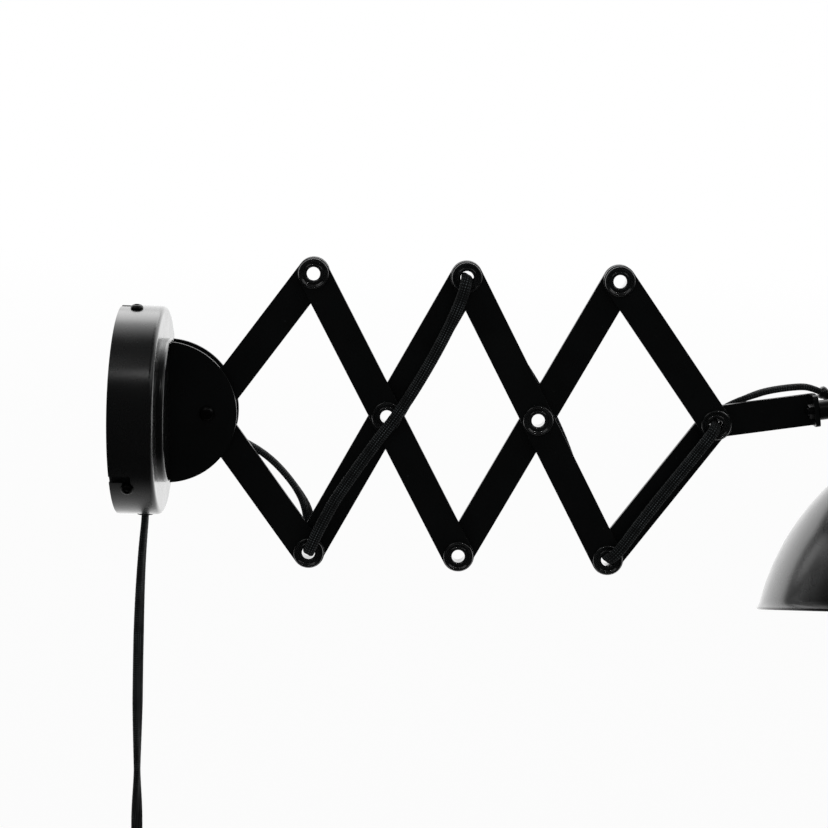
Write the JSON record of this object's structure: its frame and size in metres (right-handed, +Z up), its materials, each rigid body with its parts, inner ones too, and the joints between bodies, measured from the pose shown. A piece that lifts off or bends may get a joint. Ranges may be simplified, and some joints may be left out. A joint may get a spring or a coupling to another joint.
{
  "type": "accordion wall lamp",
  "caption": "Wall lamp on a folding scissor arm of flat bars with eyelet pivots, round wall canopy, domed metal shade on a tilting head, and a braided cord threaded along the arm.",
  "frame": {"origin": "middle of the canopy's back plane, on the wall, midway between the wall screw slots", "axes": "+X out of the wall along the arm, +Y to the far side, +Z up"},
  "size_m": [0.5626, 0.2051, 0.6551],
  "materials": {
    "painted": "satin black",
    "eyelet_black": "gloss black",
    "dark_screw": "blackened",
    "zinc_steel": "zinc plated",
    "cord_black": "braided black",
    "plastic_black": "moulded black",
    "plastic_white": "moulded",
    "rubber_black": "soft",
    "brass": "bright"
  },
  "bodies": {
    "wall_base": {"wall_plate": "painted", "canopy_cover": "painted", "cover_screws": "dark_screw", "base_screws": "zinc_steel", "arm_base": "painted", "ear_near": "painted", "ear_far": "painted", "terminal_block": "plastic_white", "terminal_screws": "zinc_steel", "cord_clamp": "plastic_black", "cord_grommet": "rubber_black", "pivot_bolt": "dark_screw", "pivot_nut": "dark_screw", "arm_cord_wall": "cord_black", "mains_cord_drop": "cord_black", "switch_case": "plastic_black", "mains_cord_coil": "cord_black", "cord_tie": "rubber_black", "mains_cord_tail": "cord_black", "plug_body": "plastic_black", "plug_pins": "brass"},
    "arm_pivot": {"pivot_bush": "zinc_steel", "pivot_washers": "plastic_black"},
    "wall_bar_up": {"bar_wall_up": "painted"},
    "fall_1": {"bar_fall_1": "painted", "eyelets_fall_1": "eyelet_black", "washers_fall_1": "plastic_black"},
    "rise_1": {"bar_rise_1": "painted", "arm_cord_2": "cord_black"},
    "wall_bar_down": {"bar_wall_down": "painted", "eyelets_wall_down": "eyelet_black", "washers_wall_down": "plastic_black", "arm_cord_1": "cord_black"},
    "fall_2": {"bar_fall_2": "painted", "eyelets_fall_2": "eyelet_black", "washers_fall_2": "plastic_black", "arm_cord_3": "cord_black"},
    "rise_2": {"bar_rise_2": "painted"},
    "head_bar_up": {"bar_head_up": "painted", "eyelets_head_up": "eyelet_black", "washers_head_up": "plastic_black"},
    "head_bar_down": {"bar_head_down": "painted", "arm_cord_4": "cord_black"},
    "head_pin": {"washers_head": "plastic_black"},
    "head_arm": {"head_bar": "painted", "arm_cord_5": "cord_black"},
    "swivel": {"swivel_nut": "dark_screw", "swivel_rod": "painted", "knuckle_screw": "dark_screw", "knuckle_knob": "dark_screw", "arm_cord_6": "cord_black"},
    "lamp_head": {"knuckle_eye": "painted", "holder_cap": "painted", "lampholder": "plastic_black", "socket_shell": "brass", "socket_contact": "brass", "shade_ring": "plastic_black", "shade": "painted", "cord_sleeve": "rubber_black"},
    "rocker": {"switch_rocker": "plastic_black"}
  },
  "joints": [
    {"name": "arm_tilt", "type": "hinge", "parent": "wall_base", "child": "arm_pivot", "pos_m": [0.054, 0, 0], "axis": [0, -1, 0], "range_deg": [-25, 25], "deforming": ["arm_cord_1"]},
    {"name": "arm_fold", "type": "hinge", "parent": "arm_pivot", "child": "wall_bar_up", "pos_m": [0.054, 0, 0], "axis": [0, -1, 0], "range_deg": [-11, 9.7]},
    {"name": "fall_1_turn", "type": "hinge", "parent": "wall_bar_up", "child": "fall_1", "pos_m": [0.11814, 0, 0.08813], "axis": [0, -1, 0], "range_deg": [-22.64, 25.68]},
    {"name": "rise_1_turn", "type": "hinge", "parent": "fall_1", "child": "rise_1", "pos_m": [0.1654, 0, 0], "axis": [0, -1, 0], "range_deg": [-29.34, 25.88]},
    {"name": "wall_bar_down_turn", "type": "hinge", "parent": "rise_1", "child": "wall_bar_down", "pos_m": [0.11814, 0, -0.08813], "axis": [0, -1, 0], "range_deg": [-22.64, 25.68]},
    {"name": "fall_2_turn", "type": "hinge", "parent": "rise_1", "child": "fall_2", "pos_m": [0.21265, 0, 0.08813], "axis": [0, -1, 0], "range_deg": [-25.88, 29.34]},
    {"name": "rise_2_turn", "type": "hinge", "parent": "fall_2", "child": "rise_2", "pos_m": [0.25991, 0, 0], "axis": [0, -1, 0], "range_deg": [-29.34, 25.88]},
    {"name": "head_bar_up_turn", "type": "hinge", "parent": "rise_2", "child": "head_bar_up", "pos_m": [0.30716, 0, 0.08813], "axis": [0, -1, 0], "range_deg": [-22.64, 25.68]},
    {"name": "head_bar_down_turn", "type": "hinge", "parent": "fall_2", "child": "head_bar_down", "pos_m": [0.30716, 0, -0.08813], "axis": [0, -1, 0], "range_deg": [-25.68, 22.64], "deforming": ["arm_cord_4"]},
    {"name": "head_level", "type": "hinge", "parent": "head_bar_up", "child": "head_pin", "pos_m": [0.3713, 0, 0], "axis": [0, -1, 0], "range_deg": [-11.01, 9.71]},
    {"name": "head_tilt", "type": "hinge", "parent": "head_pin", "child": "head_arm", "pos_m": [0.3713, 0, 0], "axis": [0, -1, 0], "range_deg": [-20, 35]},
    {"name": "shade_swivel", "type": "hinge", "parent": "head_arm", "child": "swivel", "pos_m": [0.3713, 0.0004, 0], "axis": [0.9877, 0, 0.1564], "range_deg": [-45, 75], "deforming": ["arm_cord_6"]},
    {"name": "shade_tilt", "type": "hinge", "parent": "swivel", "child": "lamp_head", "pos_m": [0.48113, 0.0004, 0.0174], "axis": [-0.041, -0.965, 0.259], "range_deg": [-10, 55], "deforming": ["cord_sleeve"]},
    {"name": "switch_rock", "type": "hinge", "parent": "wall_base", "child": "rocker", "pos_m": [0.013, 0, -0.33], "axis": [0, -1, 0], "range_deg": [0, 16]}
  ],
  "couplings": [
    {"joint": "fall_1_turn", "follows": "arm_fold", "ratio": -2.3333},
    {"joint": "rise_1_turn", "follows": "arm_fold", "ratio": 2.6667},
    {"joint": "wall_bar_down_turn", "follows": "arm_fold", "ratio": -2.3333},
    {"joint": "fall_2_turn", "follows": "arm_fold", "ratio": -2.6667},
    {"joint": "rise_2_turn", "follows": "arm_fold", "ratio": 2.6667},
    {"joint": "head_bar_up_turn", "follows": "arm_fold", "ratio": -2.3333},
    {"joint": "head_bar_down_turn", "follows": "arm_fold", "ratio": 2.3333},
    {"joint": "head_level", "follows": "arm_fold", "ratio": 1}
  ]
}
